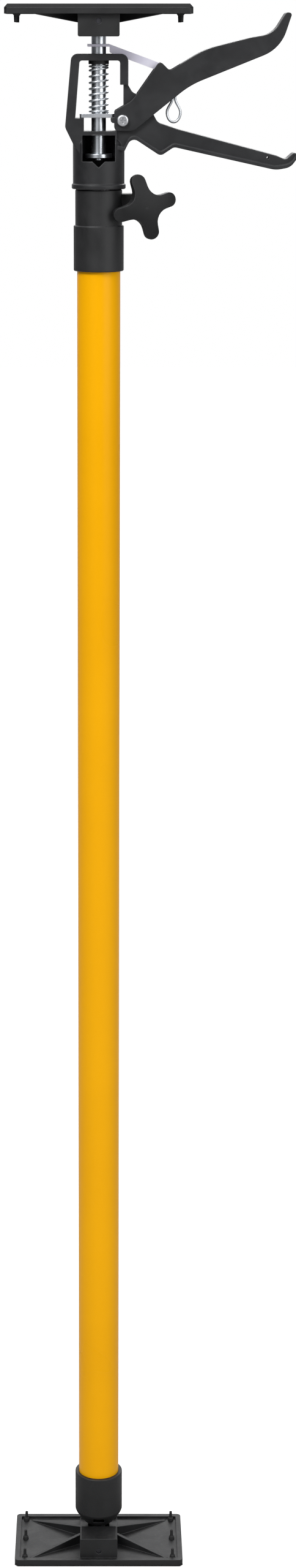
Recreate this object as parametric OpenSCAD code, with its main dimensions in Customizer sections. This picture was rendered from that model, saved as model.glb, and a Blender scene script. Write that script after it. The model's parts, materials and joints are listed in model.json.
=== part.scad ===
// Telescopic support prop with a one-way jack head that a squeeze lever works.
// Origin on the floor under the pole, +Z up the pole, both handles towards +X.

/* [Tubes] */
// Length of the outer tube
tube_len = 966.3; // [600:0.1:1400]
// Outside diameter of the outer tube
tube_od = 30; // [28:0.5:34]
// Outside diameter of the inner tube
inner_od = 25; // [23:0.5:26]
// Wall thickness of both tubes
tube_wall = 1.2; // [0.8:0.1:1.6]
// Running gap of the guide bush in the outer tube
bush_gap = 0.08; // [0.05:0.01:0.1]
// Running gap of every pin, rod and sleeve fit
fit_gap = 0.05; // [0.03:0.01:0.08]

/* [Pads] */
// Length of a pad, along the handles
pad_len = 127; // [115:1:150]
// Width of a pad
pad_wid = 70; // [67:1:80]
// Corner radius of a pad
pad_corner = 3; // [1:0.5:6]
// Thickness of the rubber sole
sole_t = 2.5; // [1.5:0.5:4]
// How far the sole's outer face is drawn in at its bevelled edge
sole_bevel = 2.2; // [1:0.1:3]
// Thickness of the pad's plate
plate_t = 4; // [3.5:0.5:6]
// Depth of the field sunk inside the plate's rim
field_deep = 1.8; // [1:0.1:2.5]
// Width of the plate's rim
rim_w = 3.8; // [2:0.1:6]
// Length of the hub block, along the handles
hub_len = 28.2; // [27:0.1:36]
// Width of the hub block
hub_wid = 62; // [40:1:62]
// Height of the hub block above the plate
hub_h = 15; // [12.5:0.5:16]
// Height of a rib above the rim where it leaves the hub
rib_h = 5.7; // [3:0.1:10]
// Thickness of a rib
rib_t = 2.4; // [1.6:0.2:4]
// Diameter of the hinge pins
pin_d = 4; // [3:0.5:5]
// Diameter of the sole's pull-through plugs
plug_d = 3.4; // [2.5:0.1:4.5]
// How far a plug stands above the plate's rim
plug_h = 5.7; // [3:0.1:8]

/* [Foot cup] */
// Wall thickness of the cup round the outer tube
cup_wall = 2.75; // [2:0.25:4]
// Length of tube held in the cup
cup_grip = 30; // [20:1:60]
// Height of the cup's tapered foot
cup_cone = 8; // [6:0.5:12]

/* [Clamp] */
// Wall thickness of the clamp's skirt round the outer tube
skirt_wall = 2.35; // [1.8:0.05:4]
// Length of the skirt below the step
skirt_len = 31; // [20:1:60]
// Wall thickness of the clamp round the inner tube
jaw_wall = 3.65; // [3:0.05:5]
// Height of the jaws above the step
jaw_len = 24.6; // [21:0.1:40]
// Thickness of each ear
ear_t = 6.5; // [4:0.5:9]
// Half the height of an ear
ear_r = 8.2; // [7:0.1:9.5]
// Width of the slit between the ears
slit_w = 2; // [1:0.25:4]
// Distance of the clamp bolt from the pole's axis
bolt_x = 26.8; // [25.5:0.1:32]
// Diameter of the clamp bolt
bolt_d = 6; // [5:0.5:8]
// Angle by which the clamp's ears stand behind the handles
clamp_turn = 16; // [0:1:40]
// Reach of the knob's lobes from its axis
knob_r = 22.8; // [18:0.1:23]
// Width of a knob lobe
lobe_w = 9.7; // [7:0.1:12]
// Number of knob lobes
lobes = 4; // [3:1:5]
// Thickness of the knob's star
knob_t = 9; // [7:0.5:14]
// Length of the knob's neck
neck_len = 9; // [6:0.5:14]

/* [Jack head] */
// Depth of the frame and the lever, front to back
head_deep = 24; // [23.5:0.5:28]
// Thickness of the lever's cheeks
cheek_t = 2.5; // [2:0.1:3]
// Side gap between a lever cheek and the frame
cheek_gap = 0.3; // [0.2:0.05:0.5]
// Wall thickness of the frame's sleeve round the inner tube
sleeve_wall = 5.25; // [4:0.25:7]
// Length of inner tube held in the sleeve
socket_deep = 14.5; // [12:0.5:16]
// Thickness of the bridge under the jack window
bridge_t = 2.8; // [2:0.1:4]
// Height of the jack window
window_h = 47.2; // [45:0.1:54]
// Thickness of the frame's top bar
top_bar_t = 4.5; // [3.5:0.1:6]
// Thickness of the rim along the fixed handle
rim_t = 2.5; // [1.5:0.1:4]
// Diameter of the lever's pivot screw
pivot_d = 5; // [4:0.25:5.5]

/* [Jack rod] */
// Diameter of the push rod
rod_d = 10; // [8:0.25:10.25]
// How far the push rod can be jacked out
rod_travel = 12; // [5:1:12]
// Diameter of the flange on the rod's lower end
stop_d = 18.8; // [14:0.1:20]
// Thickness of that flange
stop_t = 3; // [2:0.25:3.5]
// Thickness of the drive plate
drive_t = 2.6; // [2:0.1:4]
// Width of the drive plate
drive_w = 18; // [14:0.5:18.4]
// Wire diameter of the main spring
spring_wire = 1.4; // [1:0.1:1.6]
// Mean diameter of the main spring
spring_d = 12.4; // [12:0.1:14]
// Turns of the main spring
spring_turns = 9; // [6:1:12]
// Thickness of the brake plate's sheet
brake_t = 1.8; // [1.2:0.1:2.4]
// Width of the brake plate
brake_w = 15; // [13.5:0.25:15.5]
// Slope of the brake plate's arm
brake_slope = 20; // [18:0.1:21]
// Wire diameter of the release loop
loop_wire = 1.8; // [1.2:0.1:2]
// Width of the release loop, between the wire's middles
loop_wid = 9.2; // [8:0.1:12]
// Drop of the release loop below its hole
loop_drop = 31.8; // [30:0.1:36]

/* [Hidden] */
$fn = 96;
// Gap between flat or curved faces of pieces that move past each other
clear = 0.3;
// Overlap that carries a cut cleanly through a face
eps = 0.1;
// Straight steps in one rounded corner
arc_steps = 6;

// Pads, measured from the outer face of the sole
plate_z = sole_t + plate_t;
pin_z = plate_z + 4.8;
hub_z = plate_z + hub_h;
eye_gap = 0.4;
cone_r = rod_d / 2 + 6;
slot_len = rod_d + 6;
slot_wid = rod_d + 1;
well_len = hub_len + 1;
well_wid = 2 * cone_r + 1;
well_deep = 5;
field_z = plate_z - field_deep;
rib_start = [hub_len / 2, 6];
rib_end = [pad_len / 2 - 12, pad_wid / 2 - 6.5];
plug_x = pad_len / 2 - 7.6;
plug_y = pad_wid / 2 - 6.8;

// Foot cup and outer tube
cup_r = tube_od / 2 + cup_wall;
cone_z = hub_z + 0.3;
cup_z = cone_z + cup_cone;
cup_floor = 3;
tube_z = cup_z + cup_floor;
tube_top = tube_z + tube_len;
rivet_d = 3.2;
foot_rivet_z = tube_z + 13;

// Clamp
step_z = tube_top + 2;
skirt_r = tube_od / 2 + skirt_wall;
jaw_r = inner_od / 2 + fit_gap + jaw_wall;
jaw_top = step_z + jaw_len;
bolt_z = step_z + 5 + ear_r;
ear_face = slit_w / 2 + ear_t;
washer_t = 1.5;
washer_r = bolt_d / 2 + 4;
head_af = bolt_d * 5 / 3;
head_t = bolt_d * 2 / 3;
neck_y = ear_face + washer_t;
star_y = neck_y + neck_len;
bolt_tip = star_y + knob_t / 2 + 1.5;
insert_r = bolt_d / 2 + 2;
insert_len = 6;
star_turn = 16;

// Jack head: heights are above its lower rim
head_z = jaw_top + 0.4;
sleeve_r = inner_od / 2 + sleeve_wall;
web_deep = head_deep - 2 * cheek_t - 2 * cheek_gap;
inner_top = head_z + socket_deep;
sill_h = socket_deep + 4.4;
bridge_h = sill_h + 17.5;
bridge_top = bridge_h + bridge_t;
shoulder_h = bridge_top + 8.7;
frame_h = window_h + bridge_top + top_bar_t;
bar_h = bridge_top + window_h;
seat_h = bar_h - 2.5;
arm_x = 20.2;
arm_in = 14.7;
pivot = [16.4, bridge_top + 7.3];
lug_r = pivot_d / 2 + 2.4;
head_rivet_h = 9;

// Inner tube and guide bush
bush_len = 20;
bush_plug = 15;
bush_z = tube_z + 30;
inner_z = bush_z + bush_len;

// Jack rod, plates and springs
rod_r = rod_d / 2;
top_pin_z = head_z + frame_h + 21.7;
total_h = top_pin_z + pin_z;
stop_top = head_z + bridge_h - 2 * clear - rod_travel;
rod_tip_r = 3;
rod_tip = 1.5;
drive_z = head_z + shoulder_h + clear;
drive_left = -13;
drive_right = 10.6;
grip_gap = 0.35;
brake_top = frame_h + 6.5;
brake_left = -7.7;
brake_bend = 7;
brake_end = 43;
brake_tail_w = brake_w - 4;
flange_t = 1.5;
flange_h = 5.5;
fulcrum = [9.5, frame_h - 0.1];
brake_travel = 3.5;
tail_drop = 9;
hole_r = 1.5;
loop_r = loop_wire / 2;
small_wire = 0.6;
small_spring_d = 2.8;
small_turns = 12;
pocket_r = small_spring_d / 2 + 0.5;
pocket = [17.45, frame_h - 14.4];

function unit(v) = v / norm(v);

// Points on the arc about c from p to q
function arc_between(c, p, q, n) =
    let (a0 = atan2(p.y - c.y, p.x - c.x), a1 = atan2(q.y - c.y, q.x - c.x),
        turn = ((a1 - a0 + 540) % 360) - 180, r = norm(p - c))
    [for (i = [0:n]) c + r * [cos(a0 + turn * i / n), sin(a0 + turn * i / n)]];

// The corner b between a and c, rounded to radius r where the edges are long enough
function rounded_corner(a, b, c, r, n) =
    let (d1 = unit(a - b), d2 = unit(c - b), half = acos(max(-1, min(1, d1 * d2))) / 2)
    r <= 0 || half > 89 ? [b] :
    let (reach = min(r / tan(half), 0.49 * norm(a - b), 0.49 * norm(c - b)),
        rr = reach * tan(half), centre = b + unit(d1 + d2) * rr / sin(half))
    arc_between(centre, b + d1 * reach, b + d2 * reach, n);

// Closed outline through corners [x, y, radius]; a corner without a radius stays sharp
function outline(pts, n = arc_steps) =
    let (m = len(pts))
    [for (i = [0:m - 1])
        let (a = pts[(i + m - 1) % m], b = pts[i], c = pts[(i + 1) % m])
        each rounded_corner([a.x, a.y], [b.x, b.y], [c.x, c.y], len(b) > 2 ? b[2] : 0, n)];

// A profile in x and height, given its depth about the middle plane
module side_profile(deep) rotate([90, 0, 0]) linear_extrude(deep, center = true) children();

// A straight cylinder along y from y0 to y1 at x, height z
module cross_bar(r, x, z, y0, y1)
    translate([x, y1, z]) rotate([90, 0, 0]) cylinder(r = r, h = y1 - y0);

// Round wire swept along points; rings stand square to the path
function ring_frame(p, i, closed) =
    let (m = len(p), a = closed ? p[(i + m - 1) % m] : p[max(i - 1, 0)],
        b = closed ? p[(i + 1) % m] : p[min(i + 1, m - 1)], t = unit(b - a),
        n = unit(cross(t, abs(t.z) < 0.9 && norm([t.x, t.y]) > 0.5 ? [0, 0, 1] : [0, 1, 0])))
    [n, cross(n, t)];
module wire(p, r, closed = false, sides = 8) {
    m = len(p);
    rings = [for (i = [0:m - 1]) let (f = ring_frame(p, i, closed))
        for (k = [0:sides - 1]) p[i] + r * (cos(360 * k / sides) * f[0] + sin(360 * k / sides) * f[1])];
    spans = closed ? m : m - 1;
    skin = [for (i = [0:spans - 1]) for (k = [0:sides - 1])
        let (a = i * sides, b = ((i + 1) % m) * sides, k2 = (k + 1) % sides)
        each [[a + k2, b + k2, b + k], [a + k2, b + k, a + k]]];
    ends = closed ? [] : [[for (k = [0:sides - 1]) sides - 1 - k],
        [for (k = [0:sides - 1]) (m - 1) * sides + k]];
    polyhedron(rings, concat(skin, ends));
}

// Coil spring standing on z0 with its top at z1: a closed turn at each end
module coil(z0, z1, d, w, turns, steps, sides) {
    h = z1 - z0 - w;
    lead = w / h;
    n = turns * steps;
    path = [for (i = [0:n]) let (u = i / n, a = 360 * i / steps, dead = 1 / turns,
            rise = u < dead ? u / dead * lead
                : u > 1 - dead ? 1 - (1 - u) / dead * lead
                : lead + (u - dead) / (1 - 2 * dead) * (1 - 2 * lead))
        [d / 2 * cos(a), d / 2 * sin(a), z0 + w / 2 + h * rise]];
    wire(path, w / 2, sides = sides);
}

// Blind rivet along +y: shank, pulled bulge inside and domed head outside
module rivet(z, y_in, y_out) {
    translate([0, y_in - 2, z]) rotate([-90, 0, 0]) rotate_extrude()
        polygon([[0, 0], [2, 0], [2.2, 0.8], [1.9, 1.6], [rivet_d / 2, 1.6],
            [rivet_d / 2, y_out - y_in + 2], [3.2, y_out - y_in + 2],
            [2.6, y_out - y_in + 2.8], [1.4, y_out - y_in + 3.2], [0, y_out - y_in + 3.2]]);
}

// Pad plate: a field sunk inside a rim, a hub block with a slot for the eye and a channel across
// its top for the cup's cone to tilt in, and four ribs
module pad_plate() difference() {
    union() {
        difference() {
            translate([0, 0, sole_t]) pad_slab(pad_len, pad_wid, pad_corner, plate_t);
            translate([0, 0, field_z])
                pad_slab(pad_len - 2 * rim_w, pad_wid - 2 * rim_w, 0.8, field_deep + eps);
        }
        translate([0, 0, field_z - eps]) side_profile(hub_wid)
            polygon(outline([[-hub_len / 2, 0], [hub_len / 2, 0],
                [hub_len / 2, hub_h + field_deep + eps, 1.2], [-hub_len / 2, hub_h + field_deep + eps, 1.2]]));
        for (sx = [1, -1], sy = [1, -1]) scale([sx, sy, 1]) pad_rib();
    }
    translate([0, 0, (pin_z - rod_r - eye_gap + hub_z) / 2])
        cube([slot_len, slot_wid, hub_z - pin_z + rod_r + eye_gap], center = true);
    translate([-well_len / 2, -well_wid / 2, hub_z - well_deep])
        cube([well_len, well_wid, well_deep + eps]);
    cross_bar(pin_d / 2 + 0.01, 0, pin_z, -hub_wid, hub_wid);
    for (x = [-plug_x, plug_x], y = [-plug_y, 0, plug_y])
        translate([x, y, 0]) cylinder(d = plug_d + 2 * fit_gap, h = plate_z + eps);
}

// Rectangular slab with rounded corners, standing on the plane
module pad_slab(long, wide, corner, high) linear_extrude(high)
    polygon(outline([for (c = [[1, 1], [-1, 1], [-1, -1], [1, -1]])
        [c.x * long / 2, c.y * wide / 2, corner]]));

// One tapering rib from the hub towards a corner, down to the field
module pad_rib() {
    run = rib_end - rib_start;
    translate([rib_start.x, rib_start.y, field_z]) rotate([0, 0, atan2(run.y, run.x)])
        side_profile(rib_t) polygon([[-4, -1], [norm(run), -1], [norm(run), 0.3],
            [0, rib_h + field_deep], [-4, rib_h + field_deep]]);
}

// Rubber sole with bevelled edges and six barbed plugs that pull through the plate
module pad_sole() {
    rotate([90, 0, 0]) linear_extrude(pad_wid - 2 * sole_bevel, center = true)
        polygon([[sole_bevel - pad_len / 2, 0], [pad_len / 2 - sole_bevel, 0],
            [pad_len / 2, sole_t], [-pad_len / 2, sole_t]]);
    for (s = [1, -1]) scale([1, s, 1]) intersection() {
        translate([0, pad_wid / 2 - sole_bevel, 0]) rotate([90, 0, 90])
            linear_extrude(pad_len, center = true)
            polygon([[-eps, 0], [0, 0], [sole_bevel, sole_t], [-eps, sole_t]]);
        rotate([90, 0, 0]) linear_extrude(2 * pad_wid, center = true)
            polygon([[sole_bevel - pad_len / 2, 0], [pad_len / 2 - sole_bevel, 0],
                [pad_len / 2, sole_t], [-pad_len / 2, sole_t]]);
    }
    for (x = [-plug_x, plug_x], y = [-plug_y, 0, plug_y]) translate([x, y, 0])
        rotate_extrude() polygon([[0, sole_t - eps], [plug_d / 2, sole_t - eps],
            [plug_d / 2, field_z + 0.1], [plug_d / 2 + 0.5, field_z + 0.2],
            [plug_d / 2 + 0.2, field_z + 2.2], [plug_d / 2 - 0.5, field_z + 3],
            [plug_d / 2 - 0.7, plate_z + plug_h], [0, plate_z + plug_h]]);
}

// Hinge pin through a hub
module pad_pin() cross_bar(pin_d / 2, 0, pin_z, 1.2 - hub_wid / 2, hub_wid / 2 - 1.2);

// Turns a pad over onto the rod's upper end
module on_top() translate([0, 0, total_h]) rotate([180, 0, 0]) children();

module foot_pad_plate() color("#2b2b2d") pad_plate();
module foot_pad_sole() color("#1d1d1f") pad_sole();
module foot_pin() color("silver") pad_pin();
module top_pad_plate() color("#2b2b2d") on_top() pad_plate();
module top_pad_sole() color("#1d1d1f") on_top() pad_sole();
module top_pin() color("silver") on_top() pad_pin();

// Cup round the tube's foot, tapering to a stem with the hinge eye
module foot_cup() color("#2b2b2d") difference() {
    union() {
        rotate_extrude() polygon(outline([[0, cone_z], [cone_r, cone_z, 0.8],
            [cup_r - 0.8, cup_z, 1.5], [cup_r, cup_z + 2, 2], [cup_r, tube_z + cup_grip, 0.6],
            [0, tube_z + cup_grip]]));
        translate([0, 0, pin_z]) cylinder(r = rod_r, h = cone_z - pin_z + 1);
        translate([0, 0, pin_z]) sphere(r = rod_r);
    }
    translate([0, 0, tube_z]) cylinder(d = tube_od + 2 * fit_gap, h = cup_grip + eps);
    translate([0, 0, cone_z + 3]) cylinder(r1 = rod_r - 1, r2 = tube_od / 2 - 3, h = tube_z - cone_z - 3 + eps);
    translate([-4.2, -cup_r, cone_z + 4]) cube([8.4, cup_r, 4.2]);
    cross_bar(pin_d / 2 + fit_gap, 0, pin_z, -cup_r, cup_r);
    cross_bar(rivet_d / 2 + 0.01, 0, foot_rivet_z, 0, cup_r + 1);
}
module foot_rivet() color("silver") rivet(foot_rivet_z, tube_od / 2 - tube_wall, cup_r);

module outer_tube() color("#f2b010") difference() {
    translate([0, 0, tube_z]) cylinder(d = tube_od, h = tube_len);
    translate([0, 0, tube_z - eps]) cylinder(d = tube_od - 2 * tube_wall, h = tube_len + 2 * eps);
    cross_bar(rivet_d / 2 + 0.01, 0, foot_rivet_z, 0, tube_od);
}
module inner_tube() color("#c9ccd0") difference() {
    translate([0, 0, inner_z]) cylinder(d = inner_od, h = inner_top - inner_z);
    translate([0, 0, inner_z - eps]) cylinder(d = inner_od - 2 * tube_wall, h = inner_top - inner_z + 2 * eps);
    cross_bar(rivet_d / 2 + 0.01, 0, head_z + head_rivet_h, 0, inner_od);
}
// Bush on the inner tube's lower end, with a plug up its bore
module guide_bush() color("#2b2b2d") difference() {
    union() {
        translate([0, 0, bush_z]) cylinder(r = tube_od / 2 - tube_wall - bush_gap, h = bush_len);
        translate([0, 0, bush_z]) cylinder(r = inner_od / 2 - tube_wall - fit_gap, h = bush_len + bush_plug);
    }
    translate([0, 0, bush_z - eps]) cylinder(r = inner_od / 2 - tube_wall - 3.3, h = bush_len + bush_plug + 1);
}

// Clamp pieces are drawn with the ears along +x and the bolt along -y, then turned
module at_clamp() rotate([0, 0, clamp_turn]) children();
module clamp_collar() color("#2b2b2d") at_clamp() difference() {
    union() {
        rotate_extrude() polygon(outline([[0, step_z - skirt_len], [skirt_r, step_z - skirt_len, 0.6],
            [skirt_r, step_z, 0.5], [jaw_r, step_z], [jaw_r, jaw_top, 1], [0, jaw_top]]));
        side_profile(2 * ear_face) polygon(outline([[0, bolt_z - ear_r], [bolt_x + ear_r, bolt_z - ear_r, ear_r],
            [bolt_x + ear_r, bolt_z + ear_r, ear_r], [0, bolt_z + ear_r]], 12));
    }
    translate([0, 0, step_z - skirt_len - eps])
        cylinder(d = tube_od + 2 * fit_gap, h = tube_top - step_z + skirt_len + eps);
    translate([0, 0, tube_top - eps]) cylinder(d = inner_od + 2 * fit_gap, h = jaw_top - tube_top + 1);
    translate([0, -slit_w / 2, tube_top - 2]) cube([bolt_x + 2 * ear_r, slit_w, jaw_top - tube_top + 3]);
    cross_bar(bolt_d / 2 + 0.01, bolt_x, bolt_z, -ear_face - 1, ear_face + 1);
    translate([bolt_x, ear_face + eps, bolt_z]) rotate([90, 0, 0]) rotate([0, 0, 30])
        cylinder(r = head_af / sqrt(3) + 0.15, h = head_t / 2 + eps, $fn = 6);
}
module clamp_bolt() color("silver") at_clamp() {
    cross_bar(bolt_d / 2, bolt_x, bolt_z, -bolt_tip, ear_face);
    translate([bolt_x, ear_face + head_t / 2, bolt_z]) rotate([90, 0, 0]) rotate([0, 0, 30])
        cylinder(r = head_af / sqrt(3), h = head_t, $fn = 6);
}
module clamp_washer() color("silver") at_clamp() difference() {
    cross_bar(washer_r, bolt_x, bolt_z, -neck_y, -ear_face);
    cross_bar(bolt_d / 2 + fit_gap, bolt_x, bolt_z, -neck_y - 1, -ear_face + 1);
}
// Star knob: a neck and a lobed star with a domed face, closed in front of the bolt
module clamp_knob() color("#2b2b2d") at_clamp() translate([bolt_x, 0, bolt_z]) rotate([90, 0, 0])
    difference() {
        union() {
            translate([0, 0, neck_y]) cylinder(r = insert_r + 3, h = neck_len + 1);
            intersection() {
                translate([0, 0, star_y]) linear_extrude(knob_t) rotate([0, 0, 90 + star_turn])
                    polygon(knob_star());
                translate([0, 0, star_y + knob_t - 52]) sphere(r = 52, $fn = 200);
                translate([0, 0, star_y]) cylinder(r1 = knob_r - 1, r2 = knob_r - 1 + knob_t, h = knob_t);
            }
        }
        translate([0, 0, neck_y - eps]) cylinder(r = insert_r + 0.01, h = insert_len + eps);
        translate([0, 0, neck_y]) cylinder(r = bolt_d / 2 + 0.4, h = bolt_tip - neck_y + 1);
    }
// Outline of the star: lobes with round ends and wide hollows between them
function knob_star() =
    let (half = lobe_w / 2, root = half / sin(180 / lobes))
    outline([for (i = [0:lobes - 1]) let (a = 360 * i / lobes, c = [cos(a), sin(a)], s = [-sin(a), cos(a)],
            m = a + 180 / lobes)
        each [concat(knob_r * c - half * s, [half * 0.98]), concat(knob_r * c + half * s, [half * 0.98]),
            concat(root * [cos(m), sin(m)], [9])]]);
module knob_insert() color("#c8a24a") at_clamp() translate([bolt_x, 0, bolt_z]) rotate([90, 0, 0])
    translate([0, 0, neck_y]) difference() {
        cylinder(r = insert_r, h = insert_len);
        translate([0, 0, -1]) cylinder(r = bolt_d / 2 + fit_gap, h = insert_len + 2);
    }

// Side outline of the frame's window ring
function ring_points() = outline([[12.2, 24], [5 - sleeve_r, 24], [0.1 - sleeve_r, 31, 6], [-23, 41.8, 6],
    [-18.6, frame_h, 4.5], [arm_x, frame_h, 5], [arm_x, 70.3, 1], [12.2, 70.3]]);
// The open window: wide part, and the lower part between the shoulder and the lug
function window_points() = outline([[-10.2, bridge_top], [30, bridge_top], [30, 70.3], [arm_in, 70.3],
    [arm_in, bar_h, 2], [-13.1, bar_h, 2], [-16.1, shoulder_h], [-10.2, shoulder_h]]);
// Fixed handle and gusset, without the lug
function handle_points() = outline([[9, 28], [9, 38], [12.4, 39.2], [12.4, 42.2], pivot, [17, 50.5], [17, 72],
    [arm_x, 74], [arm_x, 70], [23.4, 64.6, 5], [31, 63], [38.5, 48.5], [40.5, 44.9, 5], [54.4, 40.3, 8],
    [122, 22.6, 6], [128.3, 19.9, 3], [133.6, 24.6, 1.5], [137.9, 23.6, 1.8], [131.5, 15, 9],
    [121.5, 13.1, 18], [51.5, 28.6, 4], [42.4, 22.6, 4], [22.5, 35.5, 4.5], [sleeve_r, 26]]);
module head_frame() color("#2b2b2d") translate([0, 0, head_z]) difference() {
    union() {
        rotate_extrude() polygon(outline([[0, 0], [sleeve_r + 0.85, 0, 0.8], [sleeve_r + 0.85, 3, 0.8],
            [sleeve_r, 3.6], [sleeve_r, 31.5, 3], [head_deep / 2 + 0.5, 37], [0, 37]]));
        side_profile(head_deep) difference() {
            polygon(ring_points());
            polygon(window_points());
        }
        side_profile(web_deep) polygon(handle_points());
        cross_bar(lug_r, pivot.x, pivot.y, -web_deep / 2, web_deep / 2);
        side_profile(head_deep) difference() {
            polygon(handle_points());
            translate([0, rim_t]) polygon(handle_points());
            translate([-20, 36]) square([60, 60]);
        }
        translate([0, 0, seat_h]) cylinder(r = rod_r + 2, h = bar_h - seat_h + eps);
    }
    translate([0, 0, -eps]) cylinder(d = inner_od + 2 * fit_gap, h = socket_deep + eps);
    translate([0, 0, socket_deep - eps]) cylinder(r = inner_od / 2 - tube_wall, h = bridge_h - socket_deep + eps);
    translate([0, -sleeve_r / 2 - 1, (sill_h + bridge_h) / 2])
        cube([inner_od - 2 * tube_wall - 0.2, sleeve_r + 2, bridge_h - sill_h], center = true);
    translate([0, -sleeve_r / 2 - 1, sill_h]) side_profile(sleeve_r + 2)
        polygon([[-4.4, eps], [4.4, eps], [0, -4]]);
    translate([0, 0, bridge_h - 1]) cylinder(d = rod_d + 2 * fit_gap + 0.06, h = frame_h);
    side_profile(brake_w + 1) polygon([[3, fulcrum.y], fulcrum,
        [arm_x + 5, fulcrum.y - (arm_x + 5 - fulcrum.x) * tan(brake_slope + brake_travel)],
        [arm_x + 5, frame_h + 5], [3, frame_h + 5]]);
    translate([pocket.x, 0, pocket.y]) cylinder(r = pocket_r, h = frame_h);
    cross_bar(pivot_d / 2 + 0.01, pivot.x, pivot.y, -head_deep, head_deep);
    cross_bar(0.85, 116, 21.4, -head_deep, head_deep);
    cross_bar(rivet_d / 2 + 0.01, 0, head_rivet_h, 0, sleeve_r + 1);
}
module head_rivet() color("silver") rivet(head_z + head_rivet_h, inner_od / 2 - tube_wall, sleeve_r);

// Pivot screw with a pan head in front and a lock nut behind
module pivot_screw() color("silver") translate([pivot.x, head_deep / 2 + 6, head_z + pivot.y]) rotate([90, 0, 0])
    difference() {
        union() {
            cylinder(d = pivot_d, h = head_deep + 6 + clear + eps);
            translate([0, 0, head_deep + 6 + clear]) rotate_extrude()
                polygon(outline([[0, 0], [0.82 * pivot_d, 0, 0.3], [0.82 * pivot_d, 2.9, 1.9], [0, 2.9]]));
        }
        for (a = [0, 90]) rotate([0, 0, a]) translate([-2, -0.45, head_deep + 6 + clear + 1.3]) cube([4, 0.9, 3]);
    }
module pivot_nut() color("silver") translate([pivot.x, head_deep / 2 + clear, head_z + pivot.y])
    rotate([-90, 0, 0]) difference() {
        union() {
            cylinder(r = 0.8 * pivot_d / cos(30), h = 0.75 * pivot_d, $fn = 6);
            cylinder(r = 0.72 * pivot_d, h = pivot_d);
        }
        translate([0, 0, -1]) cylinder(d = pivot_d + 0.02, h = 2 * pivot_d);
    }

// Side outline of the squeeze lever, measured from its pivot
function lever_points() = outline([[-5.7, -7, 2.5], [-5.7, 6.2, 2], [6.5, 13.4, 14], [25.2, 39.8, 2.5],
    [32, 33.2, 2.5], [56, 47.4, 60], [87, 55.1, 60], [102, 57.5, 18], [110.9, 71.9, 2],
    [114.9, 71.4, 2], [107.1, 47.8, 38], [46, 23.6, 60], [7.4, -7, 8]], 10);
// Room between the cheeks: open above the notch, roofed by the lever's back beyond it
function pocket_points() = [[-14, -16], [-14, 60], [39.4, 60], [39.4, 34.4], [56.6, 44.5], [87.2, 52.3],
    [100.8, 54.5], [103.8, 56.5], [106.3, 44], [62, 20], [10, -16]];
nose = [-6.6, 0.2];
module trigger_lever() color("#2b2b2d") translate([pivot.x, 0, head_z + pivot.y]) difference() {
    union() {
        difference() {
            side_profile(head_deep) polygon(lever_points());
            side_profile(head_deep - 2 * cheek_t) polygon(pocket_points());
        }
        for (y = [-head_deep / 2, head_deep / 2 - cheek_t]) cross_bar(2, nose.x + 0.4, nose.y, y, y + cheek_t);
        cross_bar(1.3, nose.x, nose.y, 1 - head_deep / 2, head_deep / 2 - 1);
    }
    cross_bar(pivot_d / 2 + 2 * fit_gap, 0, 0, -head_deep, head_deep);
}

// Drive plate: grips the rod, rests on the frame's shoulder and the lever's nose
module drive_plate() color("#b9bdc2") difference() {
    translate([0, 0, drive_z]) linear_extrude(drive_t)
        polygon(outline([[drive_left, -drive_w / 2, 2], [drive_right, -drive_w / 2, 2],
            [drive_right, drive_w / 2, 2], [drive_left, drive_w / 2, 2]]));
    translate([0, 0, drive_z - 1]) cylinder(r = rod_r + grip_gap, h = drive_t + 2);
}
module main_spring() color("silver")
    coil(drive_z + drive_t, head_z + seat_h - eps, spring_d, spring_wire, spring_turns, 16, 8);

// Push rod with a hinge eye at the top and a riveted tip below
module push_rod() color("#d4d6d8") difference() {
    union() {
        translate([0, 0, stop_top]) cylinder(r = rod_r, h = top_pin_z - stop_top);
        translate([0, 0, top_pin_z]) sphere(r = rod_r);
        translate([0, 0, stop_top - stop_t - rod_tip]) cylinder(r = rod_tip_r, h = stop_t + rod_tip + 1);
    }
    cross_bar(pin_d / 2 + fit_gap, 0, top_pin_z, -rod_d, rod_d);
}
module rod_stop() color("#d4d6d8") difference() {
    translate([0, 0, stop_top - stop_t]) rotate_extrude()
        polygon(outline([[0, 0], [stop_d / 2, 0, 0.5], [stop_d / 2, stop_t, 0.5], [0, stop_t]]));
    translate([0, 0, stop_top - stop_t - 1]) cylinder(r = rod_tip_r + 0.01, h = stop_t + 2);
}

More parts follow.
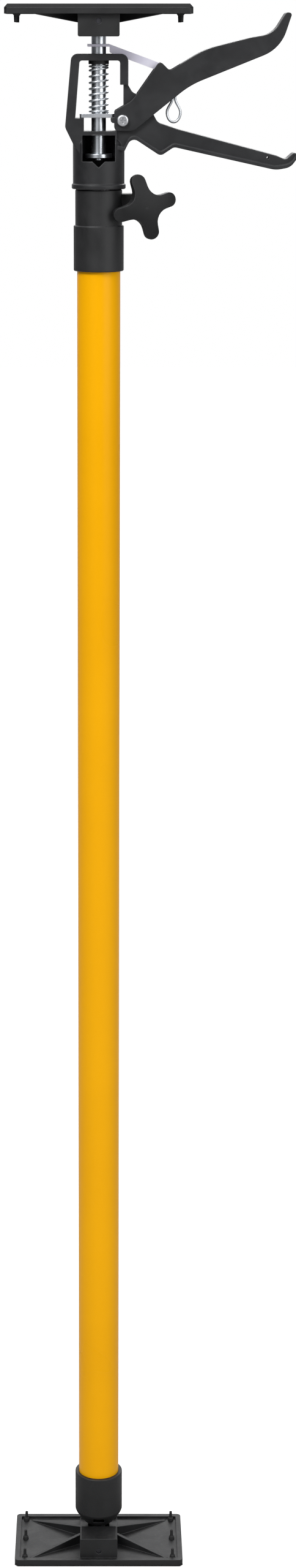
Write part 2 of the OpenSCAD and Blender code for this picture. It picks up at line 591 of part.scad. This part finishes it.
// Brake plate: level where it grips the rod, then a sloping arm with turned-down flanges, and a
// narrower tail bent down at 45 degrees with the loop's hole in it
function slope_at(x) = brake_top - (x - brake_bend) * tan(brake_slope);
sheet_v = brake_t / cos(brake_slope);
tail_end = [brake_end + tail_drop, slope_at(brake_end) - tail_drop];
hole_at = tail_end + [-1, 1] * 2.2 - [1, 1] * brake_t / sqrt(8);
module brake_plan(inset, reach) polygon([[brake_left - reach, inset - brake_w / 2], [30, inset - brake_w / 2],
    [tail_end.x + reach, inset - brake_tail_w / 2], [tail_end.x + reach, brake_tail_w / 2 - inset],
    [30, brake_w / 2 - inset], [brake_left - reach, brake_w / 2 - inset]]);
module brake_plate() color("#c9c4dc") translate([0, 0, head_z]) difference() {
    intersection() {
        linear_extrude(120) brake_plan(0, 0);
        union() {
            side_profile(brake_w) polygon([[brake_left, brake_top], [brake_bend, brake_top],
                [brake_end, slope_at(brake_end)], tail_end, tail_end - [1, 1] * brake_t / sqrt(2),
                [brake_end - 0.5, slope_at(brake_end) - sheet_v], [brake_bend, brake_top - brake_t],
                [brake_left, brake_top - brake_t]]);
            difference() {
                side_profile(brake_w) polygon(outline([[brake_bend + 0.5, slope_at(brake_bend + 0.5) - 1],
                    [brake_bend + 0.5, slope_at(brake_bend + 0.5) - flange_h, 1],
                    [brake_end - 1, slope_at(brake_end - 1) - flange_h, 2],
                    [brake_end, slope_at(brake_end) - 1]]));
                linear_extrude(120) brake_plan(flange_t, 5);
            }
        }
    }
    cylinder(r = rod_r + 0.6, h = 120);
    translate([hole_at.x, 0, hole_at.y]) rotate([0, 45, 0]) cylinder(r = hole_r, h = 4 * brake_t, center = true);
}
module brake_spring() color("silver") translate([pocket.x, 0, 0])
    coil(head_z + pocket.y + 0.05, head_z + slope_at(pocket.x + small_spring_d / 2) - sheet_v - clear,
        small_spring_d, small_wire, small_turns, 10, 6);

// Release loop: a teardrop of wire hung in the hole of the brake plate's tail. It runs up through
// the hole and over the tail's end, closes to a neck, and swells to a round bottom
function loop_points() =
    let (mid = hole_at.x + 2.3, low = hole_at.y - loop_drop, wide = loop_wid / 2, neck = 0.95,
        round_h = 6.5, rise = 9.6, neck_z = low + round_h + rise, leg = hole_at.x + 4.6,
        top = outline([[mid + 1.9, neck_z + 1, 4], [leg, hole_at.y - 5, 3], [leg, hole_at.y + 4.6, 1.9],
            hole_at - [2.2, 2.2], [mid - 1.9, neck_z + 2, 4]]))
    [for (p = concat(
        [for (a = [-90:10:0]) [mid + wide * cos(a), low + round_h * (1 + sin(a))]],
        [for (u = [0.1:0.1:1]) [mid + neck + (wide - neck) * (1 + cos(180 * u)) / 2, neck_z - rise * (1 - u)]],
        top,
        [for (u = [0.9:-0.1:0.1]) [mid - neck - (wide - neck) * (1 + cos(180 * u)) / 2, neck_z - rise * (1 - u)]],
        [for (a = [180:10:260]) [mid + wide * cos(a), low + round_h * (1 + sin(a))]]))
        [p.x, 0, p.y]];
module release_loop() color("silver") translate([0, 0, head_z]) wire(loop_points(), loop_r, closed = true);

foot_pad_plate();
foot_pad_sole();
foot_pin();
foot_cup();
foot_rivet();
outer_tube();
clamp_collar();
clamp_bolt();
clamp_washer();
clamp_knob();
knob_insert();
inner_tube();
guide_bush();
head_frame();
head_rivet();
pivot_screw();
pivot_nut();
trigger_lever();
drive_plate();
main_spring();
push_rod();
rod_stop();
brake_plate();
brake_spring();
release_loop();
top_pad_plate();
top_pad_sole();
top_pin();
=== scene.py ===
import json
import math
import bpy
import numpy as np
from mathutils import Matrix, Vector


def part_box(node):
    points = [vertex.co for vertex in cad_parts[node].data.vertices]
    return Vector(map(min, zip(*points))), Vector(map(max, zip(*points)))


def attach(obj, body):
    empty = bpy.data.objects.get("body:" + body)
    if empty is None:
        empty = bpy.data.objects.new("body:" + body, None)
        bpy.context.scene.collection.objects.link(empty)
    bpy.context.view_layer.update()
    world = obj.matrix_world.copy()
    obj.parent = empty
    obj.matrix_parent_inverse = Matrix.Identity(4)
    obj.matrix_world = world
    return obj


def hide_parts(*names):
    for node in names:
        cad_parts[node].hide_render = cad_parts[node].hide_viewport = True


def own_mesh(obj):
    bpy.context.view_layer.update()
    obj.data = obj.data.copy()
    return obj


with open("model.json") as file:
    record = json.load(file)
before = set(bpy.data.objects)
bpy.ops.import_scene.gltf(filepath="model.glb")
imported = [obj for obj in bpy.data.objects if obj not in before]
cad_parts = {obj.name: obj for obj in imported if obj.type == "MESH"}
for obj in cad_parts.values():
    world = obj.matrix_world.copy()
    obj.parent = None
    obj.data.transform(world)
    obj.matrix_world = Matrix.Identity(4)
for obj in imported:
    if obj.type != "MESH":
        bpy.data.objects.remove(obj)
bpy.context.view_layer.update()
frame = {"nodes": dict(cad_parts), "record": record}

# The prop stands on a pale studio floor. The camera is straight in front of it, about two metres
# away and level with its upper pad, and looks down a little.
top_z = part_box("top_pad_sole")[1].z
scene = bpy.context.scene
scene.view_settings.view_transform = "Standard"
camera_distance = 2.025
camera_drop = 0.019
camera_pitch = 12.7
camera_data = bpy.data.cameras.new("camera")
camera_data.sensor_width = 36.0
camera_data.lens = 66.58
camera_data.shift_x = 0.0315
camera_data.shift_y = -0.0624
camera = bpy.data.objects.new("camera", camera_data)
scene.collection.objects.link(camera)
camera.location = (0.0, -camera_distance, top_z - camera_drop)
camera.rotation_euler = (math.radians(90 - camera_pitch), 0.0, 0.0)
scene.camera = camera


# The floor is matt paper, wide enough to leave the view. It glows to the camera alone, so that it
# shows white and keeps the soft shadow under the foot pad.
def add(tree, kind, **inputs):
    """A new node of that kind. Each named input is joined to the socket given, or set to the value."""
    node = tree.nodes.new(kind)
    for name, value in inputs.items():
        socket = node.inputs[name.replace("_", " ")]
        if isinstance(value, bpy.types.NodeSocket):
            tree.links.new(value, socket)
        else:
            socket.default_value = value
    return node


def surface(name):
    """A new material whose output takes one Principled shader: (material, tree, shader)."""
    material = bpy.data.materials.new(name)
    material.use_nodes = True
    tree = material.node_tree
    tree.nodes.clear()
    shader = add(tree, "ShaderNodeBsdfPrincipled")
    out = add(tree, "ShaderNodeOutputMaterial", Surface=shader.outputs["BSDF"])
    out.name = "out"
    return material, tree, shader


foot_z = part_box("foot_pad_sole")[0].z
floor_gap, paper_tone, paper_glow = 0.0002, 0.40, 0.80
floor_mesh = bpy.data.meshes.new("floor")
floor_mesh.from_pydata([(-6, -4, 0), (6, -4, 0), (6, 8, 0), (-6, 8, 0)], [], [(0, 1, 2, 3)])
floor = bpy.data.objects.new("floor", floor_mesh)
scene.collection.objects.link(floor)
floor.location.z = foot_z - floor_gap
paper, tree, shader = surface("floor_paper")
shader.inputs["Base Color"].default_value = (paper_tone, paper_tone, paper_tone, 1)
shader.inputs["Roughness"].default_value = 0.9
glow = add(tree, "ShaderNodeEmission", Color=(1, 1, 1, 1), Strength=paper_glow)
bright = tree.nodes.new("ShaderNodeAddShader")
tree.links.new(shader.outputs["BSDF"], bright.inputs[0])
tree.links.new(glow.outputs["Emission"], bright.inputs[1])
ray = add(tree, "ShaderNodeLightPath")
pick = add(tree, "ShaderNodeMixShader", Fac=ray.outputs["Is Camera Ray"])
tree.links.new(shader.outputs["BSDF"], pick.inputs[1])
tree.links.new(bright.outputs[0], pick.inputs[2])
tree.links.new(pick.outputs[0], tree.nodes["out"].inputs["Surface"])
floor_mesh.materials.append(paper)

# The room lights matt surfaces mainly from its ceiling. In reflections it has upright pale and grey
# bands, so that plated steel has a light and a dark side, and the camera sees plain white.
world = bpy.data.worlds.new("room")
scene.world = world
world.use_nodes = True
tree = world.node_tree
tree.nodes.clear()
way = add(tree, "ShaderNodeTexCoord")
split = add(tree, "ShaderNodeSeparateXYZ", Vector=way.outputs["Generated"])
across = add(tree, "ShaderNodeMapRange", Value=split.outputs["X"], From_Min=-1.0, From_Max=1.0)
side = add(tree, "ShaderNodeValToRGB", Fac=across.outputs["Result"])
ramp = side.color_ramp
ramp.elements[0].position, ramp.elements[0].color = 0.0, (0.10, 0.10, 0.11, 1)
ramp.elements[1].position, ramp.elements[1].color = 1.0, (0.16, 0.16, 0.17, 1)
cool = 1.02
for position, level in (
    (0.12, 0.12), (0.22, 0.90), (0.36, 0.95), (0.44, 0.34), (0.66, 0.28), (0.76, 0.62), (0.88, 0.62),
):
    step = ramp.elements.new(position)
    step.color = (level, level, level * cool, 1)
ceiling = add(tree, "ShaderNodeMapRange", Value=split.outputs["Z"], From_Min=0.0, From_Max=1.0,
    To_Min=0.0, To_Max=0.80)
matt_room = add(tree, "ShaderNodeBackground", Color=(1, 1, 1, 1), Strength=ceiling.outputs["Result"])
upper = add(tree, "ShaderNodeMapRange", Value=split.outputs["Z"], From_Min=0.0, From_Max=0.5,
    To_Min=0.75, To_Max=1.8)
mirror_room = add(tree, "ShaderNodeBackground", Color=side.outputs["Color"],
    Strength=upper.outputs["Result"])
white = add(tree, "ShaderNodeBackground", Color=(1, 1, 1, 1))
ray = add(tree, "ShaderNodeLightPath")
room = add(tree, "ShaderNodeMixShader", Fac=ray.outputs["Is Glossy Ray"])
tree.links.new(matt_room.outputs[0], room.inputs[1])
tree.links.new(mirror_room.outputs[0], room.inputs[2])
pick = add(tree, "ShaderNodeMixShader", Fac=ray.outputs["Is Camera Ray"])
tree.links.new(room.outputs[0], pick.inputs[1])
tree.links.new(white.outputs[0], pick.inputs[2])
add(tree, "ShaderNodeOutputWorld", Surface=pick.outputs[0])

# Three large soft boxes: a high key to the left of the camera, a lower fill to the right, and one
# behind the prop. Each row gives a lamp's place, what it points at, its width and its power.
for name, at, aim, size, watts in (
    ("key_box", (-1.2, -2.0, 3.0), (0, 0, 0.6), 1.2, 74),
    ("fill_box", (2.0, -1.9, 1.6), (0, 0, 0.5), 2.0, 33),
    ("back_box", (0.4, 2.2, 2.2), (0, 0, 0.4), 1.6, 34),
):
    lamp = bpy.data.lights.new(name, "AREA")
    lamp.size = size
    lamp.energy = watts
    box = bpy.data.objects.new(name, lamp)
    scene.collection.objects.link(box)
    box.location = at
    box.rotation_euler = (Vector(at) - Vector(aim)).to_track_quat("Z", "Y").to_euler()


# Edge softening, shared by every finish but the paint: normals rounded over an edge, and a mask that
# is 1 on the edge itself, broken up a little as handling wears it. The plastics and the rubber lay a
# paler colour on that mask, partly wear and partly a painted highlight.
def socket(group, name, kind, way="OUTPUT", value=None):
    """One input or output on a node group's interface."""
    made = group.interface.new_socket(name, in_out=way, socket_type="NodeSocket" + kind)
    if value is not None:
        made.default_value = value


edges = bpy.data.node_groups.new("soft_edges", "ShaderNodeTree")
socket(edges, "Radius", "Float", "INPUT", 0.0006)
socket(edges, "Normal", "Vector")
socket(edges, "Edge", "Float")
given = add(edges, "NodeGroupInput")
bevel = add(edges, "ShaderNodeBevel", Radius=given.outputs["Radius"])
bevel.samples = 6
flat = add(edges, "ShaderNodeNewGeometry")
turn = edges.nodes.new("ShaderNodeVectorMath")
turn.operation = "DOT_PRODUCT"
edges.links.new(bevel.outputs["Normal"], turn.inputs[0])
edges.links.new(flat.outputs["Normal"], turn.inputs[1])
bend = add(edges, "ShaderNodeMapRange", Value=turn.outputs["Value"], From_Min=0.998, From_Max=0.86)
place = add(edges, "ShaderNodeTexCoord")
rub_and_sheen_noise = add(edges, "ShaderNodeTexNoise", Vector=place.outputs["Object"], Scale=140.0, Detail=3.0)
rub_and_sheen_mask = add(edges, "ShaderNodeMapRange", Value=rub_and_sheen_noise.outputs["Fac"], From_Min=0.3,
    From_Max=0.7, To_Min=0.45, To_Max=1.0)
mask = edges.nodes.new("ShaderNodeMath")
mask.operation = "MULTIPLY"
edges.links.new(bend.outputs["Result"], mask.inputs[0])
edges.links.new(rub_and_sheen_mask.outputs["Result"], mask.inputs[1])
add(edges, "NodeGroupOutput", Normal=bevel.outputs["Normal"], Edge=mask.outputs["Value"])


def with_group(tree, group, **inputs):
    """A node that uses a node group, with its inputs set."""
    node = tree.nodes.new("ShaderNodeGroup")
    node.node_tree = group
    for name, value in inputs.items():
        node.inputs[name].default_value = value
    return node


def blend_colour(tree, factor, first, second):
    """The colour output of a mix from the first colour to the second by a factor socket."""
    mix = tree.nodes.new("ShaderNodeMix")
    mix.data_type = "RGBA"
    tree.links.new(factor, mix.inputs["Factor"])
    first_colour, second_colour, mixed_colour = mix.inputs[6], mix.inputs[7], mix.outputs[2]
    for value, place in ((first, first_colour), (second, second_colour)):
        if isinstance(value, bpy.types.NodeSocket):
            tree.links.new(value, place)
        else:
            place.default_value = (*value, 1)
    return mixed_colour


def dress(material, *names):
    """Gives CAD nodes this material."""
    for name in names:
        mesh = frame["nodes"][name].data
        mesh.materials.clear()
        mesh.materials.append(material)


# Moulded grain, shared by the black plastics and the rubber: a fine eroded texture, cloudy flow
# marks, and for the plastics a trace of pale dust on faces that look up.
grain = bpy.data.node_groups.new("moulded_grain", "ShaderNodeTree")
socket(grain, "Fine", "Float")
socket(grain, "Clouds", "Float")
socket(grain, "Dust", "Float")
place = add(grain, "ShaderNodeTexCoord")
fine = add(grain, "ShaderNodeTexNoise", Vector=place.outputs["Object"], Scale=2600.0, Detail=3.0,
    Roughness=0.6)
clouds = add(grain, "ShaderNodeTexNoise", Vector=place.outputs["Object"], Scale=55.0, Detail=4.0,
    Distortion=0.8)
cloud_mask = add(grain, "ShaderNodeMapRange", Value=clouds.outputs["Fac"], From_Min=0.35, From_Max=0.65)
facing = add(grain, "ShaderNodeNewGeometry")
up = add(grain, "ShaderNodeSeparateXYZ", Vector=facing.outputs["Normal"])
up_mask = add(grain, "ShaderNodeMapRange", Value=up.outputs["Z"], From_Min=0.55, From_Max=1.0)
specks = add(grain, "ShaderNodeTexNoise", Vector=place.outputs["Object"], Scale=420.0, Detail=5.0,
    Roughness=0.7)
speck_mask = add(grain, "ShaderNodeMapRange", Value=specks.outputs["Fac"], From_Min=0.5, From_Max=0.75)
dust = grain.nodes.new("ShaderNodeMath")
dust.operation = "MULTIPLY"
grain.links.new(up_mask.outputs["Result"], dust.inputs[0])
grain.links.new(speck_mask.outputs["Result"], dust.inputs[1])
add(grain, "NodeGroupOutput", Fine=fine.outputs["Fac"], Clouds=cloud_mask.outputs["Result"],
    Dust=dust.outputs["Value"])


def moulding(name, dark, light, rounding, low_gloss, high_gloss, shine=0.40):
    """Black moulded plastic: two near blacks, the radius of its edges, its range of roughness and
    how strongly it reflects."""
    # The paler edge colour is partly wear and partly a painted highlight on the edges.
    worn_and_highlit_edge, dust_colour, dust_most = (0.045, 0.046, 0.049), (0.28, 0.27, 0.25), 0.05
    texture_depth = 0.00006
    material, tree, shader = surface(name)
    soft = with_group(tree, edges, Radius=rounding)
    mould = with_group(tree, grain)
    body = blend_colour(tree, mould.outputs["Clouds"], dark, light)
    # Edges turn paler here: partly wear, partly a painted highlight.
    worn_and_highlit = blend_colour(tree, soft.outputs["Edge"], body, worn_and_highlit_edge)
    dusty = add(tree, "ShaderNodeMapRange", Value=mould.outputs["Dust"], To_Max=dust_most)
    colour = blend_colour(tree, dusty.outputs["Result"], worn_and_highlit, dust_colour)
    tree.links.new(colour, shader.inputs["Base Color"])
    gloss = add(tree, "ShaderNodeMapRange", Value=mould.outputs["Clouds"], To_Min=low_gloss,
        To_Max=high_gloss)
    tree.links.new(gloss.outputs["Result"], shader.inputs["Roughness"])
    bump = add(tree, "ShaderNodeBump", Height=mould.outputs["Fine"], Normal=soft.outputs["Normal"],
        Strength=0.35, Distance=texture_depth)
    tree.links.new(bump.outputs["Normal"], shader.inputs["Normal"])
    shader.inputs["Specular IOR Level"].default_value = shine
    return material


# Jack frame and squeeze lever: glass-filled nylon, injection moulded with softened edges, the two
# joined by a steel pivot screw.
head_nylon = moulding("head_nylon", dark=(0.0105, 0.0108, 0.012), light=(0.0165, 0.017, 0.0185),
    rounding=0.0009, low_gloss=0.44, high_gloss=0.54)
dress(head_nylon, "head_frame", "trigger_lever")

# Pads, foot cup and guide bush: the same nylon from tools with a coarser texture. The pads turn on
# pins, the cup is riveted to the outer tube and the bush is plugged into the foot of the inner one.
pad_nylon = moulding("pad_nylon", dark=(0.0075, 0.0077, 0.008), light=(0.0120, 0.0124, 0.0130),
    rounding=0.0007, low_gloss=0.46, high_gloss=0.56)
dress(pad_nylon, "foot_pad_plate", "top_pad_plate", "foot_cup", "guide_bush")

# Clamp collar: nylon from a smooth tool, satin. Its skirt fits over the top of the outer tube, and
# its jaws are split on one side and pulled together by the bolt.
clamp_nylon = moulding("clamp_nylon", dark=(0.0100, 0.0103, 0.0108), light=(0.0160, 0.0163, 0.0171),
    rounding=0.0010, low_gloss=0.44, high_gloss=0.54)
dress(clamp_nylon, "clamp_collar")

# Star knob: the same nylon from a tool with a dull texture for grip, moulded round its thread
# insert and turned by hand.
knob_nylon = moulding("knob_nylon", dark=(0.0068, 0.0070, 0.0074), light=(0.0115, 0.0118, 0.0125),
    rounding=0.0010, low_gloss=0.50, high_gloss=0.60, shine=0.28)
dress(knob_nylon, "clamp_knob")

# Pad soles: soft black rubber, pressed flat, held by barbed plugs pulled through the plate. The
# surface is matt, with a fine texture, a cloudy tone and slightly paler edges, partly scuffs and
# partly a painted highlight.
rubber_dark, rubber_light = (0.011, 0.011, 0.0115), (0.02, 0.02, 0.0205)
# The paler edge colour is partly scuffing and partly a painted highlight on the edges.
scuffed_and_highlit_edge = (0.045, 0.045, 0.045)
rubber, tree, shader = surface("sole_rubber")
soft = with_group(tree, edges, Radius=0.0004)
mould = with_group(tree, grain)
body = blend_colour(tree, mould.outputs["Clouds"], rubber_dark, rubber_light)
scuffed_and_highlit = blend_colour(tree, soft.outputs["Edge"], body, scuffed_and_highlit_edge)
tree.links.new(scuffed_and_highlit, shader.inputs["Base Color"])
gloss = add(tree, "ShaderNodeMapRange", Value=mould.outputs["Clouds"], To_Min=0.66, To_Max=0.82)
tree.links.new(gloss.outputs["Result"], shader.inputs["Roughness"])
bump = add(tree, "ShaderNodeBump", Height=mould.outputs["Fine"], Normal=soft.outputs["Normal"],
    Strength=0.6, Distance=0.00009)
tree.links.new(bump.outputs["Normal"], shader.inputs["Normal"])
shader.inputs["Specular IOR Level"].default_value = 0.3
dress(rubber, "foot_pad_sole", "top_pad_sole")

# Outer tube: steel tube with an amber-yellow powder coat, baked to a glossy skin with a faint
# orange peel and a slow drift of tone. It stands in the foot cup and carries the clamp.
amber, light_amber = (0.90, 0.415, 0.0006), (0.94, 0.440, 0.0008)
paint, tree, shader = surface("yellow_powder_coat")
place = add(tree, "ShaderNodeTexCoord")
peel = add(tree, "ShaderNodeTexNoise", Vector=place.outputs["Object"], Scale=750.0, Detail=2.0)
cloud = add(tree, "ShaderNodeTexNoise", Vector=place.outputs["Object"], Scale=9.0, Detail=3.0)
cloud_mask = add(tree, "ShaderNodeMapRange", Value=cloud.outputs["Fac"], From_Min=0.35, From_Max=0.65)
body = blend_colour(tree, cloud_mask.outputs["Result"], amber, light_amber)
tree.links.new(body, shader.inputs["Base Color"])
gloss = add(tree, "ShaderNodeMapRange", Value=cloud_mask.outputs["Result"], To_Min=0.27, To_Max=0.33)
tree.links.new(gloss.outputs["Result"], shader.inputs["Roughness"])
bump = add(tree, "ShaderNodeBump", Height=peel.outputs["Fac"], Strength=0.25, Distance=0.00005)
tree.links.new(bump.outputs["Normal"], shader.inputs["Normal"])
shader.inputs["Specular IOR Level"].default_value = 0.14
dress(paint, "outer_tube")


# Drawn, ground or turned metal, shared by every metal piece: hair lines along one axis, or an even
# grain where the stretch is equal, and slow patches of tone.
metal = bpy.data.node_groups.new("plated_lines", "ShaderNodeTree")
socket(metal, "Stretch", "Vector", "INPUT", (1.0, 1.0, 1.0))
socket(metal, "Lines", "Float")
socket(metal, "Patches", "Float")
given = add(metal, "NodeGroupInput")
place = add(metal, "ShaderNodeTexCoord")
drawn = metal.nodes.new("ShaderNodeVectorMath")
drawn.operation = "MULTIPLY"
metal.links.new(place.outputs["Object"], drawn.inputs[0])
metal.links.new(given.outputs["Stretch"], drawn.inputs[1])
lines = add(metal, "ShaderNodeTexNoise", Vector=drawn.outputs["Vector"], Scale=1.0, Detail=4.0,
    Roughness=0.65)
patches = add(metal, "ShaderNodeTexNoise", Vector=place.outputs["Object"], Scale=70.0, Detail=4.0)
patch_mask = add(metal, "ShaderNodeMapRange", Value=patches.outputs["Fac"], From_Min=0.35, From_Max=0.65)
add(metal, "NodeGroupOutput", Lines=lines.outputs["Fac"], Patches=patch_mask.outputs["Result"])


def plated(name, stretch, dull, bright, low_gloss, high_gloss, metallic=1.0):
    """A metal finish: the stretch of its hair lines, two tones and its range of roughness."""
    material, tree, shader = surface(name)
    soft = with_group(tree, edges, Radius=0.0003)
    skin = with_group(tree, metal, Stretch=stretch)
    body = blend_colour(tree, skin.outputs["Patches"], dull, bright)
    tree.links.new(body, shader.inputs["Base Color"])
    gloss = add(tree, "ShaderNodeMapRange", Value=skin.outputs["Lines"], From_Min=0.3, From_Max=0.7,
        To_Min=low_gloss, To_Max=high_gloss)
    tree.links.new(gloss.outputs["Result"], shader.inputs["Roughness"])
    bump = add(tree, "ShaderNodeBump", Height=skin.outputs["Lines"], Normal=soft.outputs["Normal"],
        Strength=0.2, Distance=0.00004)
    tree.links.new(bump.outputs["Normal"], shader.inputs["Normal"])
    shader.inputs["Metallic"].default_value = metallic
    return material


# Inner tube: drawn steel tube, zinc plated, with long draw lines. It slides in the outer tube and
# is riveted into the jack frame's socket.
tube_steel = plated("tube_steel", stretch=(900.0, 900.0, 12.0), dull=(0.52, 0.53, 0.54),
    bright=(0.64, 0.65, 0.66), low_gloss=0.24, high_gloss=0.36)
dress(tube_steel, "inner_tube")

# Fixings: zinc-plated rivets, pivot screw and lock nut, clamp bolt and washer, turned or headed
# from wire.
zinc_steel = plated("zinc_steel", stretch=(500.0, 500.0, 500.0), dull=(0.56, 0.57, 0.59),
    bright=(0.70, 0.71, 0.73), low_gloss=0.28, high_gloss=0.42)
dress(zinc_steel, "foot_rivet", "head_rivet", "pivot_screw", "pivot_nut", "clamp_bolt", "clamp_washer")

# Hinge pins: cropped steel rod, blackened in hot oil, pressed into the pads' hubs until their ends
# lie below the faces.
black_steel = plated("black_steel", stretch=(60.0, 900.0, 60.0), dull=(0.05, 0.05, 0.055),
    bright=(0.10, 0.10, 0.11), low_gloss=0.34, high_gloss=0.48)
dress(black_steel, "foot_pin", "top_pin")

# Drive plate: blanked from steel plate, its faces ground across, and zinc plated. It sits round the
# rod under the main spring, on the frame's shoulder and the lever's nose.
drive_steel = plated("drive_steel", stretch=(60.0, 1400.0, 1400.0), dull=(0.48, 0.50, 0.53),
    bright=(0.62, 0.64, 0.67), low_gloss=0.34, high_gloss=0.48)
dress(drive_steel, "drive_plate")

# Push rod and its flange: ground round bar with a satin zinc plate, rings of fine grinding on it.
# The flange is riveted on the lower end and stops the rod.
plated_rod = plated("plated_rod", stretch=(40.0, 40.0, 2600.0), dull=(0.50, 0.53, 0.56),
    bright=(0.62, 0.65, 0.68), low_gloss=0.25, high_gloss=0.36)
dress(plated_rod, "push_rod", "rod_stop")

# Brake plate: folded sheet steel with a pale lilac passivated zinc skin, half matt. It grips the
# rod at the top of the frame and is held up by the brake spring.
pale_zinc = plated("pale_zinc", stretch=(320.0, 900.0, 900.0), dull=(0.80, 0.78, 0.91),
    bright=(0.88, 0.86, 0.97), low_gloss=0.36, high_gloss=0.48, metallic=0.35)
dress(pale_zinc, "brake_plate")

# Knob insert: a turned brass bush moulded into the knob's neck, its end bearing on the washer. It
# runs on the clamp bolt's thread.
brass = plated("brass_insert", stretch=(700.0, 700.0, 700.0), dull=(0.50, 0.36, 0.14),
    bright=(0.66, 0.50, 0.22), low_gloss=0.25, high_gloss=0.4)
dress(brass, "knob_insert")


# Main spring: bright drawn wire of 1.4 mm, nine turns round the push rod between the drive plate
# and the frame's top bar. It shortens as the lever lifts the plate.
def swept(name, path, radius, sides, closed):
    """A round wire along an array of points: a ring of vertices square to the path at each point.

    The ring at point p is p + radius * (cos a * n + sin a * b), with n and b square to the path.
    Neighbouring rings are joined by four-sided faces, and an open wire's ends are closed flat.
    """
    ahead = np.roll(path, -1, axis=0)
    behind = np.roll(path, 1, axis=0)
    if not closed:
        ahead[-1] = path[-1]
        behind[0] = path[0]
    along = ahead - behind
    along /= np.linalg.norm(along, axis=1)[:, None]
    side = np.cross(along, (0.0, 1.0, 0.0) if closed else (0.0, 0.0, 1.0))
    side /= np.linalg.norm(side, axis=1)[:, None]
    over = np.cross(side, along)
    angle = np.arange(sides) * 2 * math.pi / sides
    rings = path[:, None] + radius * (
        np.cos(angle)[None, :, None] * side[:, None] + np.sin(angle)[None, :, None] * over[:, None])
    count = len(path)
    here = np.arange(count if closed else count - 1)[:, None] * sides
    there = (here + sides) % (count * sides)
    corner = np.arange(sides)
    following = (corner + 1) % sides
    faces = np.stack((here + corner, here + following, there + following, there + corner), axis=2)
    faces = faces.reshape(-1, 4).tolist()
    smooth = np.ones(len(faces), dtype=bool)
    if not closed:
        faces += [corner[::-1].tolist(), (corner + (count - 1) * sides).tolist()]
        smooth = np.append(smooth, (False, False))
    mesh = bpy.data.meshes.new(name)
    mesh.from_pydata(rings.reshape(-1, 3).tolist(), [], faces)
    mesh.polygons.foreach_set("use_smooth", smooth)
    piece = bpy.data.objects.new(name, mesh)
    scene.collection.objects.link(piece)
    return piece


def coil_path(low, high, wire, turns, steps):
    """The middle line of a compression spring that fills a box, with one closed turn at each end.

    The height rises by one wire in each closed turn and evenly between them.
    """
    middle = (low + high) / 2
    radius = (high.x - low.x - wire) / 2
    turn = np.linspace(0.0, turns, turns * steps + 1)
    rise = high.z - low.z - wire
    height = np.interp(turn, (0, 1, turns - 1, turns), (0, wire, rise - wire, rise))
    angle = 2 * math.pi * turn
    return np.column_stack((middle.x + radius * np.cos(angle), middle.y + radius * np.sin(angle),
        low.z + wire / 2 + height))


wire_steel = plated("spring_steel", stretch=(900.0, 900.0, 900.0), dull=(0.60, 0.63, 0.66),
    bright=(0.74, 0.77, 0.80), low_gloss=0.36, high_gloss=0.48)
main_wire, main_turns = 0.0014, 9
low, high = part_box("main_spring")
main_path = coil_path(low, high, main_wire, main_turns, steps=36)
main_coil = swept("main_spring_wire", main_path, main_wire / 2, sides=12, closed=False)
main_coil.data.materials.append(wire_steel)
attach(main_coil, "drive")
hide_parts("main_spring")
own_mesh(main_coil)

# Brake spring: twelve turns of 0.6 mm wire, coiled like the main spring. It stands in a pocket of
# the frame and pushes the brake plate up.
brake_wire, brake_turns = 0.0006, 12
low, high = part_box("brake_spring")
brake_path = coil_path(low, high, brake_wire, brake_turns, steps=24)
small_coil = swept("brake_spring_wire", brake_path, brake_wire / 2, sides=8, closed=False)
small_coil.data.materials.append(wire_steel)
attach(small_coil, "head")
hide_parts("brake_spring")


# Release loop: a teardrop of bright spring wire, bent round the tail of the brake plate through its
# hole and left hanging. It is pulled down with a finger to let the rod drop.
def loop_path(hole, bottom, width, wire):
    """The middle line of the release loop, a closed curve in the plane of the handles.

    From the bottom each leg follows a quarter ellipse out to half the width, then a cosine in to
    the neck. Above the neck the legs run on as smooth curves through the points given, up through
    the hole on one side and round the end of the tail on the other.
    """
    hang, neck, round_height, rise = 0.0023, 0.00095, 0.0065, 0.0096
    middle = hole[0] + hang
    half = width / 2
    low = bottom + wire / 2
    quarter = np.linspace(-math.pi / 2, 0, 19)
    ease = np.linspace(0, 1, 25)[1:]
    ease_in = (1 + np.cos(math.pi * ease)) / 2
    across = np.concatenate((half * np.cos(quarter), neck + (half - neck) * ease_in))
    height = np.concatenate((low + round_height * (1 + np.sin(quarter)),
        low + round_height + rise * ease))
    bend = np.radians(np.linspace(0, 135, 16))
    arc, reach = 0.0019, 0.0046
    leg = hole[0] + reach
    centre = (leg - arc, hole[1] + reach - arc * (1 + math.sqrt(2)))
    turn = np.column_stack((centre[0] + arc * np.cos(bend), centre[1] + arc * np.sin(bend)))
    right = np.column_stack((middle + across, height))
    left = np.column_stack((middle - across, height))[:0:-1]

    def smooth(start, lean, end, lean_end, count=20):
        """A cubic from start to end that leaves and arrives along the two leans."""
        t = np.linspace(0, 1, count)[1:-1, None]
        start, lean, end, lean_end = (np.array(v, dtype=float) for v in (start, lean, end, lean_end))
        return ((2 * t**3 - 3 * t**2 + 1) * start + (t**3 - 2 * t**2 + t) * lean
            + (3 * t**2 - 2 * t**3) * end + (t**3 - t**2) * lean_end)

    under = 0.0012
    upward, slanting, downward = (0.0, 0.015), (-0.006, -0.006), (0.0, -0.014)
    below = (hole[0] - under, hole[1] - under)
    outer = smooth(right[-1], upward, turn[0], upward)
    inner = smooth(below, slanting, left[0], downward)
    flat = np.concatenate((right, outer, turn, [below], inner, left))
    return np.column_stack((flat[:, 0], np.zeros(len(flat)), flat[:, 1]))


loop_wire, loop_width = 0.0018, 0.0092
low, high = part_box("release_loop")
swing = next(j for j in frame["record"]["behaviour"]["joints"] if j["name"] == "loop_swing")["pos_m"]
line = loop_path((swing[0], swing[2]), low.z, loop_width, loop_wire)
loop = swept("release_loop_wire", line, loop_wire / 2, sides=16, closed=True)
loop.data.materials.append(wire_steel)
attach(loop, "loop")
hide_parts("release_loop")
